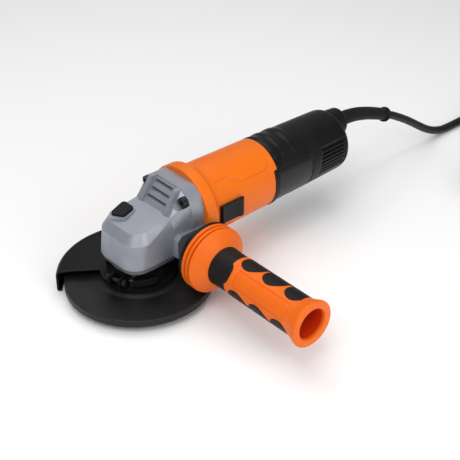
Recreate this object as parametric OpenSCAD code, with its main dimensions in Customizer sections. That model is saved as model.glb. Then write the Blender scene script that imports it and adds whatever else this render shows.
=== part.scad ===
// Angle grinder for 115 mm discs, all sizes in millimetres.
// Origin: on the spindle's axis, at its free end. +Z runs up the spindle, +X back along the motor,
// and the side handle points along -Y.

/* [Disc and guard] */
// Diameter of the grinding disc
disc_d = 115; // [112:0.5:116]
// Thickness of the disc's working rim
disc_t = 6; // [3:0.5:6]
// Outer diameter of the guard's skirt
guard_d = 127; // [125:0.5:129]
// Angle that the guard closes round the disc
guard_arc = 180; // [150:5:190]
// Direction of the guard's rear end, measured from +X
guard_start = -36; // [-38:1:-30]

/* [Spindle] */
// Outer diameter of the spindle's thread
thread_d = 14; // [13.6:0.1:14]
// Length of thread that stands free below the nut
thread_free = 4; // [3:0.5:4]
// Diameter of the clamp nut and of the inner flange
flange_d = 40; // [36:1:41]

/* [Gear head] */
// Height of the motor's axis above the spindle's free end
axis_z = 54; // [54:0.1:54.4]
// Half the width of the nose at its foot
nose_w = 24.5; // [24:0.1:25]
// How far the nose reaches in front of the spindle
nose_x = 23.3; // [23:0.1:24]
// Half the width of the square flange behind the head
head_w = 28.5; // [28:0.1:29]
// Teeth on the crown gear, three times the pinion's
crown_teeth = 36; // [36]
// Teeth on the pinion
pinion_teeth = 12; // [12]

/* [Motor and rear housing] */
// Radius of the orange motor housing at its front
motor_r = 29; // [29:0.1:29.4]
// Radius of the collar that meets the gear head
collar_r = 34; // [34:0.1:34.5]
// Position along X where the two housings meet
join_x = 121.5; // [121:0.1:122]
// Radius of the rear housing
rear_r = 27.4; // [27.4:0.1:27.8]
// Position along X of the rear end
rear_end_x = 207; // [206:0.5:208]

/* [Side handle] */
// Position of the handle's axis along X
handle_x = 31.5; // [31:0.1:32]
// Height of the handle's axis
handle_z = 37.7; // [37.4:0.1:38]
// Radius of the grip
grip_r = 14.8; // [14.6:0.1:15]
// Distance from the spindle's axis to the handle's open end
handle_end = 155.5; // [152:0.5:158]

/* [Cord] */
// Diameter of the mains cord
cord_d = 7.2; // [6.8:0.1:7.2]
// Radius of the coil's outermost turn, at the cord's centre
coil_r = 52; // [52]

/* [Hidden] */

$fn = 96;
eps = 0.01;
cut = 1;

// Heights on the spindle
floor_z = -1;
disc_z = 4.5;
hub_rise = 4.6;
hub_z = disc_z + hub_rise;
hub_top = hub_z + disc_t;
collar_z = 20;
seat_z = 22.5;
seat_top = 32.5;
cover_z = 29.5;
nose_z = 33.5;
chamfer_z = 53.5;
chamber_z = 52;
spindle_top = 57.6;

// Places along the motor
flange_x = 31;
face_x = 43;
stator_x = 60;
stator_l = 45;
bridge_end = 143;

// Guard and its clamp
guard_r = guard_d / 2;
plate_z = 16;
plate_t = 1.5;
tube_r = 21.06;
band_r = 22.65;
ear_angle = 196;
lever_angle = ear_angle + 26;
pivot_r = 27.05;
ear_y = 6;
ear_z = 22;

// Bevel gears
bevel = atan(pinion_teeth / crown_teeth);
tooth_in = 12.3;
tooth_out = 17.2;

// Lock button and its pin, which drops into a hole of the crown gear
lock_r = 9.8;
lock_angle = 112;
lock_holes = 4;
pin_r = 1.8;
pin_x = lock_r * cos(lock_angle);
pin_y = lock_r * sin(lock_angle);

// Head screws, each as height above the motor's axis, Y, and where its head is seated along X
screws = [[20, 21.5, 31], [20, -21.5, 31], [-24.6, 13, 31], [-24.6, -13, 31]];
screw_end = 50;

// Cover screws sit on this radius round the spindle
cover_screw_r = 23.9;

// The cord's route where it isn't coiled, then its short run from the coil to the plug
cord_z = floor_z + cord_d / 2;
route = [[278, 0, 50], [286, 0, 46.5], [296, 0, 41], [306, 0, 35], [316, 0, 28.4], [326, 0, 21.5],
  [336, 0, 14.8], [346, 0, 9.2], [356, 0, 5.3], [366, 0, 3.2], [378, 0, 2.6], [394, 0, 2.6],
  [410, 0, 2.6]];
tail = [[415, -104, 9.9], [400, -104, 9.9], [385, -104, 10.5], [370, -104, 12.6], [362, -104, 14],
  [355, -104, 14]];
sleeve_route = [[202, 0, 66.5], [210, 0, 66.5], [218, 0, 66.5], [228, 0, 66], [238, 0, 64.5], [248, 0, 61.8],
  [258, 0, 58.4], [268, 0, 54.4], [278, 0, 50]];
coil_x = 430;
coil_y = -coil_r;
coil_in = 28;
plug_y = -104;
plug_z = 14;
plug_front = 300;

// ---------------------------------------------------------------- helpers

function unit(v) = v / norm(v);
function tangent(p, i) = unit(p[min(i + 1, len(p) - 1)] - p[max(i - 1, 0)]);
function side(t) = unit(cross(t, abs(t.z) > 0.9 ? [1, 0, 0] : [0, 0, 1]));
function ring(p, t, r, n) =
  [for (k = [0:n - 1]) let (a = 360 * k / n, s = side(t)) p + r * (cos(a) * s + sin(a) * cross(s, t))];

// A round bar along a list of points, with one radius for each point
module sweep(p, radii, n) {
  rings = [for (i = [0:len(p) - 1]) each ring(p[i], tangent(p, i), radii[i], n)];
  last = (len(p) - 1) * n;
  faces = concat([[for (k = [n - 1:-1:0]) k]],
    [for (i = [0:len(p) - 2], k = [0:n - 1]) let (a = i * n, b = (k + 1) % n)
      [a + k, a + b, a + n + b, a + n + k]],
    [[for (k = [0:n - 1]) last + k]]);
  polyhedron(rings, faces);
}

// Turns children so that their Z runs along the motor, from the plane x
module on_motor(x) { translate([x, 0, axis_z]) rotate([0, 90, 0]) children(); }

// Turns children so that their Z runs out along the side handle, from the plane u
module on_handle(u) { translate([handle_x, -u, handle_z]) rotate([90, 0, 0]) children(); }

module tube(r, bore, h) {
  difference() {
    cylinder(r = r, h = h);
    translate([0, 0, -cut]) cylinder(r = bore, h = h + 2 * cut);
  }
}

function arc(x, y, r, a0, a1) = [for (i = [0:6]) let (a = a0 + (a1 - a0) * i / 6) [x + r * cos(a), y + r * sin(a)]];

// A plate's outline from x0 to x1, half as wide as w, with corners of radius c in front and d behind
module rounded(x0, x1, w, c, d) {
  polygon(concat(arc(x0 + c, c - w, c, 180, 270), arc(x1 - d, d - w, d, 270, 360),
    arc(x1 - d, w - d, d, 0, 90), arc(x0 + c, w - c, c, 90, 180)));
}

// One ring of a ball bearing, with the groove that the balls run in
module race(r_out, r_in, h, ball_r, path_r) {
  rotate_extrude() difference() {
    translate([r_in, 0]) square([r_out - r_in, h]);
    translate([path_r, h / 2]) circle(r = ball_r);
  }
}

module balls(count, ball_r, path_r) {
  for (i = [0:count - 1]) rotate([0, 0, i * 360 / count]) translate([path_r, 0, 0]) sphere(r = ball_r);
}

// A straight bevel tooth along the cone that both gears share
module tooth(foot, tip, root_z, tip_z) {
  reach = 1 / cos(bevel);
  translate([tooth_in * reach, 0, 0]) rotate([90, 0, 90]) linear_extrude((tooth_out - tooth_in) * reach)
    polygon([[-foot, root_z], [foot, root_z], [tip, tip_z], [-tip, tip_z]]);
}

// ---------------------------------------------------------------- gear head

// The flange that meets the motor housing, with its corners cut twice
module head_outline(w) {
  corner = [[w, 16.4], [w - 6.1, 24.7], [12.4, w]];
  polygon(concat([for (p = corner) p], [for (i = [2:-1:0]) [-corner[i].x, corner[i].y]],
    [for (p = corner) -p], [for (i = [2:-1:0]) [corner[i].x, -corner[i].y]]));
}

module nose() {
  hull() {
    translate([0, 0, nose_z]) linear_extrude(0.5) rounded(-nose_x, 24, nose_w, 14, 1);
    translate([0, 0, chamfer_z]) linear_extrude(0.5) rounded(-nose_x + 2.5, 24, nose_w, 14, 1);
    translate([-15.5, 0, 61]) rotate([0, -7.2, 0]) linear_extrude(0.1) rounded(0, 37, 20, 10, 1);
  }
}

module bulkhead() {
  hull() {
    translate([16, -nose_w, 41]) cube([0.5, 2 * nose_w, 16.5]);
    translate([16, -nose_w + 4.5, 41]) cube([0.5, 2 * nose_w - 9, 23.5]);
    on_motor(flange_x) linear_extrude(0.5) head_outline(head_w - 1);
  }
}

// The outline of the lock button, grown by g
module button_outline(g) {
  hull() for (p = [[-9.6, 12.6], [2.6, 17.4], [2.6, 10.2], [-6.4, 7.2]]) translate(p)
    circle(r = 2.4 + g, $fn = 32);
}

module handle_boss(s) {
  low = nose_z - 5;
  translate([0, s > 0 ? 30 : -20, 0]) rotate([90, 0, 0]) linear_extrude(10)
    polygon([[15.5, nose_z], [24, nose_z], [24, low], [face_x, low], [face_x, 52.3], [19.5, 52.3],
      [15.5, 48.5]]);
}

module rib(y) {
  translate([0, y + 2.1, 0]) rotate([90, 0, 0]) linear_extrude(4.2)
    polygon([[15, 62], [15.4, 65.4], [26.2, 82.3], [32, 82.3], [32, 62]]);
}

module gear_housing() {
  color([0.62, 0.64, 0.68]) difference() {
    union() {
      nose();
      bulkhead();
      on_motor(flange_x) linear_extrude(face_x - flange_x) head_outline(head_w);
      for (s = [-1, 1]) handle_boss(s);
      for (y = [-14.4, 14.4]) rib(y);
      translate([0, 0, 57]) linear_extrude(7.3) button_outline(2);
    }
    translate([0, 0, nose_z - cut]) cylinder(r = 18.5, h = chamber_z - nose_z + cut);
    translate([0, 0, chamber_z - eps]) cylinder(r = 6, h = 6 + eps);
    on_motor(8) cylinder(r = 8.2, h = 15 + eps);
    on_motor(23) cylinder(r = 13, h = 20);
    on_motor(36.2) cylinder(r = 25.5, h = 8);
    for (s = [-1, 1]) translate([handle_x, s * 17, handle_z]) rotate([-s * 90, 0, 0]) cylinder(r = 4, h = 20);
    for (p = screws) on_motor(0) translate([-p.x, p.y, 0]) {
      translate([0, 0, p.x > 0 ? 10 : 22]) cylinder(r = 4.5, h = p.z - (p.x > 0 ? 10 : 22));
      translate([0, 0, 20]) cylinder(r = 2.2, h = 40);
    }
    for (z = [69.2, 74, 78.8]) translate([14, -11.6, z - 1.2]) cube([z < 70 ? 13 : 23, 23.2, 2.4]);
    translate([0, 0, 59.3]) linear_extrude(10) button_outline(0.3);
    translate([pin_x, pin_y, chamber_z - cut]) cylinder(r = pin_r + 0.05, h = 10);
    for (a = [45:90:315]) rotate([0, 0, a]) translate([cover_screw_r, 0, nose_z - cut]) cylinder(r = 1.6, h = 9);
  }
}

module bearing_cover() {
  color([0.6, 0.61, 0.64]) difference() {
    union() {
      translate([0, 0, cover_z]) linear_extrude(nose_z - cover_z)
        rounded(-nose_x + 1.2, nose_w - 1, nose_w - 1, 13, 9);
      translate([0, 0, 21]) cylinder(r = 21, h = 9);
    }
    translate([0, 0, seat_z]) cylinder(r = 16, h = 20);
    translate([0, 0, 10]) cylinder(r = 10, h = 20);
    for (a = [45:90:315]) rotate([0, 0, a]) translate([cover_screw_r, 0, cover_z - cut]) cylinder(r = 1.6, h = 9);
  }
}

module cover_screws() {
  color([0.3, 0.3, 0.32]) for (a = [45:90:315]) rotate([0, 0, a]) translate([cover_screw_r, 0, 0]) {
    translate([0, 0, cover_z]) cylinder(r = 1.6, h = 12);
    difference() {
      translate([0, 0, cover_z - 2.2]) cylinder(r = 2.8, h = 2.2);
      translate([0, 0, cover_z - 3.2]) cylinder(r = 1.5, h = 2.2, $fn = 6);
    }
  }
}

module head_screws() {
  color([0.12, 0.12, 0.13]) for (p = screws) on_motor(p.z) translate([-p.x, p.y, 0]) {
    cylinder(r = 2.2, h = screw_end - p.z);
    difference() {
      translate([0, 0, -4.2]) cylinder(r = 4, h = 4.2);
      translate([0, 0, -6]) cylinder(r = 2.1, h = 4.4, $fn = 6);
    }
  }
}

module spindle() {
  color([0.7, 0.71, 0.73]) {
    cylinder(r = thread_d / 2, h = thread_free - 0.4);
    cylinder(r = thread_d / 2 - 0.7, h = thread_free + 1);
    translate([0, 0, thread_free + 0.3]) cylinder(r = thread_d / 2, h = collar_z - thread_free - 0.3);
    translate([0, 0, collar_z]) cylinder(r = 8.6, h = seat_z - collar_z);
    translate([0, 0, seat_z]) cylinder(r = 6, h = 15);
    translate([0, 0, 37.5]) cylinder(r = 5, h = 9.5);
    translate([0, 0, 47]) cylinder(r = 4, h = spindle_top - 47);
  }
}

function root_z(r) = axis_z - r * pinion_teeth / crown_teeth - 1.35;

module crown_gear() {
  web_z = 46.6;
  color([0.5, 0.5, 0.52]) difference() {
    union() {
      rotate_extrude() polygon([[5, 37.5], [12, 37.5], [17.2, 41.5], [17.2, root_z(17.2)],
        [tooth_in, root_z(tooth_in)], [tooth_in, web_z], [5, web_z]]);
      for (i = [0:crown_teeth - 1]) rotate([0, 0, (i + 0.5) * 360 / crown_teeth])
        translate([0, 0, axis_z]) rotate([0, bevel, 0]) tooth(0.62, 0.3, -1.6, 0.9);
    }
    for (i = [0:lock_holes - 1]) rotate([0, 0, lock_angle + i * 360 / lock_holes])
      translate([lock_r, 0, 37]) cylinder(r = pin_r + 0.2, h = 9.7);
  }
}

module pinion() {
  tilt = tan(bevel);
  color([0.55, 0.55, 0.57]) {
    on_motor(0) rotate_extrude() polygon([[0, tooth_in - 0.4], [tooth_in * tilt - 1.4, tooth_in - 0.4],
      [tooth_out * tilt - 1.4, tooth_out], [tooth_out * tilt + 0.2, tooth_out + 0.9],
      [tooth_out * tilt + 0.2, 20.5], [2.2, 20.5], [2.2, 14], [0, 14]]);
    for (i = [0:pinion_teeth - 1]) translate([0, 0, axis_z]) rotate([i * 360 / pinion_teeth, 0, 0])
      rotate([0, bevel, 0]) tooth(0.6, 0.3, 1.7, -0.9);
  }
}

module spindle_bearing_outer() {
  color([0.75, 0.76, 0.78]) translate([0, 0, seat_z]) race(16, 13, 10, 3, 11);
}

module spindle_bearing_inner() {
  color([0.75, 0.76, 0.78]) translate([0, 0, seat_z]) race(9, 6, 10, 3, 11);
}

module bearing_balls() {
  color([0.85, 0.85, 0.87]) {
    translate([0, 0, seat_z + 5]) balls(8, 2.9, 11);
    on_motor(27) balls(8, 2.3, 9);
    on_motor(136.5) balls(8, 1.75, 7.5);
  }
}

module needle_bearing() {
  color([0.75, 0.76, 0.78]) translate([0, 0, chamber_z]) tube(6, 4.04, 6);
}

module lock_button() {
  color([0.05, 0.05, 0.05]) difference() {
    translate([0, 0, 62.6]) linear_extrude(3.9) button_outline(0);
    translate([pin_x, pin_y, 62]) cylinder(r = 2.75, h = 3.2);
  }
}

module lock_pin() {
  color([0.7, 0.71, 0.73]) translate([pin_x, pin_y, 47.6]) cylinder(r = pin_r, h = 17.6);
}

module lock_spring() {
  turns = 4;
  steps = 14;
  wire_r = 0.3;
  mean_r = 2.25;
  low = 59.3 + wire_r;
  rise = 65.2 - wire_r - low;
  p = [for (i = [0:turns * steps]) [pin_x + mean_r * cos(i * 360 / steps),
    pin_y + mean_r * sin(i * 360 / steps), low + rise * i / (turns * steps)]];
  color([0.6, 0.61, 0.63]) sweep(p, [for (q = p) wire_r], 6);
}

module baffle_ring() {
  color([0.1, 0.1, 0.1]) on_motor(face_x) difference() {
    cylinder(r = 27.2, h = 1.6);
    translate([0, 0, -cut]) cylinder(r = 17, h = 5);
    for (p = screws) translate([-p.x, p.y, -cut]) cylinder(r = 4.4, h = 5);
  }
}

// ---------------------------------------------------------------- disc, flange and nut

module inner_flange() {
  color([0.6, 0.6, 0.62]) difference() {
    union() {
      translate([0, 0, hub_top]) cylinder(r = flange_d / 2, h = collar_z - hub_top);
      translate([0, 0, hub_top - 2.4]) cylinder(r = 11, h = 3);
    }
    cylinder(r = thread_d / 2, h = 40);
  }
}

module clamp_nut() {
  color([0.35, 0.35, 0.37]) difference() {
    union() {
      translate([0, 0, thread_free]) cylinder(r = flange_d / 2, h = hub_z - thread_free);
      translate([0, 0, hub_z - eps]) cylinder(r = 11, h = 2.4);
    }
    cylinder(r = thread_d / 2, h = 40);
    for (a = [0:90:270]) rotate([0, 0, a]) translate([15, 0, 0]) cylinder(r = 2.5, h = thread_free + 3);
  }
}

module grinding_disc() {
  r = disc_d / 2;
  color([0.13, 0.13, 0.14]) rotate_extrude() polygon([[11.1, hub_z], [23, hub_z], [30, disc_z], [r, disc_z],
    [r, disc_z + disc_t], [30.6, disc_z + disc_t], [23.6, hub_top], [11.1, hub_top]]);
}

// ---------------------------------------------------------------- guard

module guard() {
  t = plate_t;
  top = plate_z + t;
  bend = 4;
  lip_z = floor_z;
  outer = [for (a = [0:15:90]) [guard_r - bend + bend * cos(a), top - bend + bend * sin(a)]];
  inner = [for (a = [90:-15:0]) [guard_r - bend + (bend - t) * cos(a), top - bend + (bend - t) * sin(a)]];
  color([0.06, 0.06, 0.06]) {
    rotate([0, 0, guard_start]) rotate_extrude(angle = guard_arc) polygon(concat(
      [[guard_r - 4, lip_z], [guard_r - 1.2, lip_z], [guard_r, lip_z + 1.2]], outer,
      [[28, top], [28, plate_z]], inner,
      [[guard_r - t, lip_z + 1.8], [guard_r - 1.8, lip_z + t], [guard_r - 4, lip_z + t]]));
    rotate([0, 0, 7]) rotate_extrude() polygon([[tube_r, plate_z - 0.4], [29.4, plate_z - 0.4],
      [29.4, top + 0.4], [band_r, top + 0.4], [band_r, 26.8], [tube_r, 26.8]]);
  }
}

module guard_band() {
  gap = 8;
  color([0.08, 0.08, 0.08]) {
    rotate([0, 0, ear_angle + gap]) rotate_extrude(angle = 360 - 2 * gap)
      translate([band_r, 18]) square([1.8, 7.5]);
    for (s = [-1, 1]) rotate([0, 0, ear_angle]) difference() {
      translate([band_r + 0.5, s > 0 ? ear_y - 2.4 : -ear_y, 18]) cube([8.2, 2.4, 8]);
      translate([pivot_r, -9, ear_z]) rotate([-90, 0, 0]) cylinder(r = 1.6, h = 18);
    }
    rotate([0, 0, lever_angle]) translate([0, 0, 18]) difference() {
      translate([band_r + 1.2, -2, 0]) cube([5, 4, 1.2]);
      translate([pivot_r, 0, -cut]) cylinder(r = 1.2, h = 4);
    }
  }
}

module band_screw() {
  color([0.45, 0.45, 0.47]) rotate([0, 0, ear_angle]) translate([pivot_r, 0, ear_z]) rotate([90, 0, 0]) {
    translate([0, 0, -ear_y]) cylinder(r = 1.6, h = 2 * ear_y);
    translate([0, 0, ear_y]) cylinder(r = 3.2, h = 2.6);
    translate([0, 0, -ear_y - 2.4]) cylinder(r = 3.2, h = 2.4, $fn = 6);
  }
}

module clamp_lever() {
  color([0.1, 0.1, 0.1]) difference() {
    union() {
      rotate([0, 0, lever_angle]) rotate_extrude(angle = 42) translate([band_r + 3, 19.5]) square([2.6, 5.4]);
      rotate([0, 0, lever_angle]) translate([pivot_r, 0, 19.5]) cylinder(r = 2.1, h = 5.4);
    }
    rotate([0, 0, lever_angle]) translate([pivot_r, 0, 18]) cylinder(r = 1.25, h = 9);
  }
}

module lever_pin() {
  color([0.7, 0.71, 0.73]) rotate([0, 0, lever_angle]) translate([pivot_r, 0, 18]) {
    cylinder(r = 1.2, h = 7.3);
    translate([0, 0, 7.3]) cylinder(r = 1.7, h = 0.5);
  }
}

// ---------------------------------------------------------------- motor

module motor_shell() {
  on_motor(0) rotate_extrude() polygon([[27.5, face_x + 1.6], [27.5, face_x], [collar_r, face_x],
    [collar_r, 50], [collar_r - 0.6, 51.6],
    [motor_r + 1, 55.6], [motor_r, 57.5], [28.1, join_x], [26.2, join_x], [26.2, 53], [28, 51.4], [30.5, 50.4],
    [30.5, face_x + 1.6]]);
}

module bearing_bridge() {
  on_motor(0) rotate_extrude() {
    polygon([[21.4, 112], [23.3, 112], [23.3, bridge_end], [12.6, bridge_end], [12.6, 132.8], [14.6, 132.8],
      [14.6, 141], [21.4, 141]]);
    translate([22.5, join_x - 3.5]) square([3.9, 3.5]);
  }
}

module motor_housing() {
  color([0.93, 0.42, 0.05]) difference() {
    union() {
      motor_shell();
      bearing_bridge();
      for (p = screws) intersection() {
        on_motor(face_x) translate([-p.x, p.y, 0]) cylinder(r = 4, h = 7.4);
        on_motor(face_x) cylinder(r = collar_r - 0.5, h = 20);
      }
    }
    for (p = screws) on_motor(40) translate([-p.x, p.y, 0]) cylinder(r = 2.2, h = screw_end - 40);
    translate([53.6, -40, axis_z - 8.8]) cube([28.6, 11.3, 17.6]);
    translate([57.6, -40, axis_z - 4.4]) cube([19.5, 20, 8.8]);
    translate([110, -26.1, axis_z - 4.2]) cube([30, 2.6, 8.4]);
    for (s = [-1, 1]) translate([118.5, -4.7, axis_z + (s > 0 ? 10 : -24)]) cube([8.4, 9.4, 14]);
    translate([136, 0, axis_z - 32]) cylinder(r = 2, h = 12);
  }
}

module stator_core() {
  color([0.4, 0.41, 0.43]) on_motor(stator_x) linear_extrude(stator_l) difference() {
    circle(r = 26.2);
    circle(r = 15.4);
    for (s = [0, 1]) rotate(s * 180) intersection() {
      difference() { circle(r = 20.3); circle(r = 10); }
      polygon([[0, 0], [30, -25], [30, 25]]);
    }
    translate([-30, -50]) square([60, 50 - 23.5]);
    translate([-30, 23.5]) square([60, 30]);
  }
}

module field_coils() {
  color([0.66, 0.3, 0.12]) for (s = [0, 1]) on_motor(stator_x - 7) rotate(s * 180) difference() {
    linear_extrude(stator_l + 14) intersection() {
      difference() { circle(r = 20.3); circle(r = 16.3); }
      polygon([[0, 0], [42, 3], [42, 60], [-42, 60], [-42, 3]]);
    }
    translate([0, 0, 6.7]) linear_extrude(stator_l + 0.6) intersection() {
      circle(r = 40);
      polygon([[0, 0], [34, 27], [34, 60], [-34, 60], [-34, 27]]);
    }
  }
}

module armature_shaft() {
  color([0.7, 0.71, 0.73]) {
    on_motor(14) cylinder(r = 2.2, h = 6.5);
    on_motor(20.5) cylinder(r = 4, h = 2.5);
    on_motor(23) cylinder(r = 5, h = 90);
    on_motor(113) cylinder(r = 4, h = 27);
  }
}

module armature_core() {
  color([0.4, 0.41, 0.43]) on_motor(stator_x + 1) linear_extrude(stator_l - 2) difference() {
    circle(r = 14.9);
    circle(r = 5);
    for (i = [0:11]) rotate(i * 30) translate([9, -1.1]) square([8, 2.2]);
  }
}

module armature_windings() {
  color([0.66, 0.3, 0.12]) {
    for (x = [stator_x - 7, stator_x + stator_l - 1]) on_motor(x) tube(13.6, 5.2, 8);
    for (i = [0:11]) on_motor(stator_x + 1) rotate(i * 30) translate([9.1, -1, 0]) cube([5, 2, stator_l - 2]);
  }
}

module commutator() {
  color([0.72, 0.42, 0.22]) on_motor(115) linear_extrude(14) difference() {
    circle(r = 9.5);
    circle(r = 4);
    for (i = [0:23]) rotate(i * 15) translate([8.4, -0.2]) square([2, 0.4]);
  }
}

module fan() {
  color([0.12, 0.12, 0.12]) on_motor(45.6) difference() {
    union() {
      cylinder(r = 23, h = 1.4);
      cylinder(r = 8, h = 5.4);
      for (i = [0:12]) rotate(i * 360 / 13) translate([7, -0.7, 0]) cube([15.8, 1.4, 4.6]);
    }
    translate([0, 0, -cut]) cylinder(r = 5, h = 9);
  }
}

module front_bearing_outer() { color([0.75, 0.76, 0.78]) on_motor(23) race(13, 10.8, 8, 2.4, 9); }

module front_bearing_inner() { color([0.75, 0.76, 0.78]) on_motor(23) race(7.2, 5, 8, 2.4, 9); }

module rear_bearing_outer() { color([0.75, 0.76, 0.78]) on_motor(133) race(11, 8.8, 7, 1.85, 7.5); }

module rear_bearing_inner() { color([0.75, 0.76, 0.78]) on_motor(133) race(6.2, 4, 7, 1.85, 7.5); }

module rear_bearing_sleeve() { color([0.08, 0.08, 0.08]) on_motor(133) tube(12.6, 11, 7.4); }

module brush_holders() {
  color([0.78, 0.62, 0.3]) for (s = [-1, 1]) translate([118.5, 0, axis_z]) rotate([s > 0 ? 0 : 180, 0, 0])
    difference() {
      translate([0, -4.7, 10.6]) cube([8.4, 9.4, 12]);
      translate([1.2, -3.5, 10]) cube([6, 7, 11.6]);
    }
}

module carbon_brushes() {
  color([0.12, 0.12, 0.13]) difference() {
    for (s = [-1, 1]) translate([119.7, 0, axis_z]) rotate([s > 0 ? 0 : 180, 0, 0])
      translate([0, -3.4, 8.6]) cube([6, 6.8, 11.4]);
    on_motor(110) cylinder(r = 9.56, h = 30);
  }
}

// ---------------------------------------------------------------- switch

module switch_button() {
  color([0.05, 0.05, 0.05]) {
    translate([0, 0, axis_z + 8]) rotate([180, 0, 0]) linear_extrude(16)
      polygon([[58, 29], [81, 29], [81, 31], [79.4, 32.2], [76.6, 32.2], [74.6, 31.3], [62, 31.1],
        [60.4, 31.7], [59, 31.5], [58, 30.4]]);
    translate([64, -29, axis_z - 4]) cube([11, 4.3, 8]);
  }
}

module switch_rod() {
  color([0.15, 0.15, 0.16]) {
    translate([66, -24.7, axis_z - 3.5]) cube([86, 0.9, 7]);
    translate([150.6, -24.7, axis_z - 3.5]) cube([1.4, 6, 7]);
  }
}

module switch_module() {
  color([0.2, 0.2, 0.22]) {
    translate([153, -20, axis_z - 9]) cube([26, 14, 18]);
    for (z = [-5, 5]) translate([179, -13, axis_z + z]) rotate([0, 90, 0]) cylinder(r = 2.2, h = 3);
  }
}

// ---------------------------------------------------------------- rear housing

module rear_shell() {
  edge = 8;
  wall = 2.1;
  r = 26.3;
  x = rear_end_x - edge;
  outer = [for (a = [0:15:90]) [r - edge + edge * cos(a), x + edge * sin(a)]];
  inner = [for (a = [90:-15:0]) [r - edge + (edge - wall) * cos(a), x + (edge - wall) * sin(a)]];
  on_motor(0) rotate_extrude() polygon(concat([[rear_r, join_x], [rear_r, 162]], outer,
    [[0, rear_end_x], [0, rear_end_x - wall]], inner, [[25.3, 162], [25.6, join_x]]));
}

module rear_housing() {
  color([0.07, 0.07, 0.075]) difference() {
    union() {
      rear_shell();
      translate([200, 0, 66.5]) rotate([0, 90, 0]) cylinder(r = 10.6, h = 15.4);
      translate([215, 0, 66.5]) rotate([0, 90, 0]) cylinder(r1 = 10.6, r2 = 9.4, h = 1.8);
      translate([150, -6, axis_z - 24.8]) cube([36, 1.8, 49.6]);
      for (y = [-12, 7]) translate([190, y, 66.5]) cube([8, 5, 10.6]);
      translate([136, 0, axis_z - 26.4]) cylinder(r = 5, h = 2.7);
    }
    translate([199, 0, 66.5]) rotate([0, 90, 0]) cylinder(r = 6.7, h = 30);
    translate([199, 0, 66.5]) rotate([0, 90, 0]) cylinder(r = 8.6, h = 4);
    for (s = [-1, 1], i = [0:5]) translate([172, s > 0 ? 17 : -32, 47.2 + 4 * i]) cube([26, 15, 1.8]);
    translate([136, 0, axis_z - 32]) cylinder(r = 2, h = 14);
    translate([136, 0, axis_z - 32]) cylinder(r = 3.5, h = 7.2);
    for (s = [-1, 1]) translate([194, s * 9.4, 60]) cylinder(r = 1.5, h = 12);
  }
}

module rear_screw() {
  color([0.2, 0.2, 0.21]) translate([136, 0, 0]) {
    translate([0, 0, axis_z - 24.8]) cylinder(r = 2, h = 4.6);
    difference() {
      translate([0, 0, axis_z - 27]) cylinder(r = 3.3, h = 2.2);
      translate([0, 0, axis_z - 28]) cylinder(r = 1.6, h = 2, $fn = 6);
    }
  }
}

module label_plate() {
  color([0.16, 0.16, 0.17]) on_motor(127) rotate([0, 0, 244]) rotate_extrude(angle = 54)
    translate([rear_r, 0]) square([0.35, 32]);
}

module capacitor() {
  color([0.75, 0.6, 0.2]) translate([164, -4.2, axis_z - 12]) cube([14, 16, 14]);
}

module cord_clamp() {
  color([0.12, 0.12, 0.12]) difference() {
    translate([190, -12, 60]) cube([8, 24, 6.5]);
    translate([180, 0, 66.5]) rotate([0, 90, 0]) cylinder(r = 5, h = 30);
    for (s = [-1, 1]) translate([194, s * 9.4, 50]) cylinder(r = 1.5, h = 20);
  }
}

module clamp_screws() {
  color([0.6, 0.6, 0.62]) for (s = [-1, 1]) translate([194, s * 9.4, 0]) {
    translate([0, 0, 60]) cylinder(r = 1.5, h = 12);
    translate([0, 0, 58.4]) cylinder(r = 2.3, h = 1.6);
  }
}

module cord_sleeve() {
  last = len(sleeve_route) - 1;
  radii = [for (i = [0:last]) 6.5 - 1.2 * i / last];
  color([0.06, 0.06, 0.06]) {
    sweep(sleeve_route, radii, 20);
    translate([188, 0, 66.5]) rotate([0, 90, 0]) cylinder(r = 5, h = 14.5);
    translate([200.4, 0, 66.5]) rotate([0, 90, 0]) cylinder(r = 8.6, h = 2.6);
    translate([275.4, 0, 51.1]) rotate([0, 90 + 23, 0]) cylinder(r = 6.6, h = 2.6);
  }
}

// ---------------------------------------------------------------- side handle

module handle_washer() {
  color([0.06, 0.06, 0.06]) on_handle(30) difference() {
    union() {
      cylinder(r = 12, h = 14);
      translate([0, 0, 14]) cylinder(r = 26.3, h = 2.6);
    }
    translate([0, 0, -cut]) cylinder(r = 4, h = 30);
  }
}

module handle_flange() {
  r = 26.3;
  color([0.93, 0.42, 0.05]) on_handle(46.6) rotate_extrude() polygon([[4, 0], [18, 0], [20, 1.6], [r - 0.8, 1.6],
    [r, 2.4], [r, 3.7], [r - 1.2, 3.9], [r - 1.2, 4.7], [r, 4.9], [r, 6.1], [r - 1.2, 6.3], [r - 1.2, 7.1],
    [r, 7.3], [r, 8.6], [r - 0.9, 9.3], [r - 2.5, 10.4], [20.5, 13.4], [16.8, 15.9], [15.6, 16.7], [4, 16.7]]);
}

module handle_neck() {
  color([0.08, 0.08, 0.08]) on_handle(56) rotate_extrude() polygon([[4, 7.3], [15.4, 7.3], [15.1, 10], [14.4, 20],
    [14.2, 25], [0, 25], [0, 17.5], [6.6, 17.5], [6.6, 12], [4, 12]]);
}

module pad(row, i) {
  rotate([0, 0, 75 + 120 * row - 27]) translate([0, 0, 84 + 22.5 * i]) rotate_extrude(angle = 54)
    translate([grip_r - 1.2, 0]) square([1.7, 17.5]);
}

module handle_grip() {
  end = handle_end;
  color([0.93, 0.42, 0.05]) on_handle(0) difference() {
    rotate_extrude() polygon(concat([[0, 81], [grip_r - 0.6, 81], [grip_r, 82], [grip_r, end - 14],
      [grip_r + 0.8, end - 9], [grip_r + 2.4, end - 4.6]],
      [for (a = [-10:25:90]) [grip_r + 2.2 + 1.4 * cos(a), end - 1.4 + 1.4 * sin(a)]],
      [[12.6, end], [12, end - 1], [11.4, 96], [0, 96]]));
    for (row = [0:2], i = [0:2]) pad(row, i);
  }
}

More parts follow.
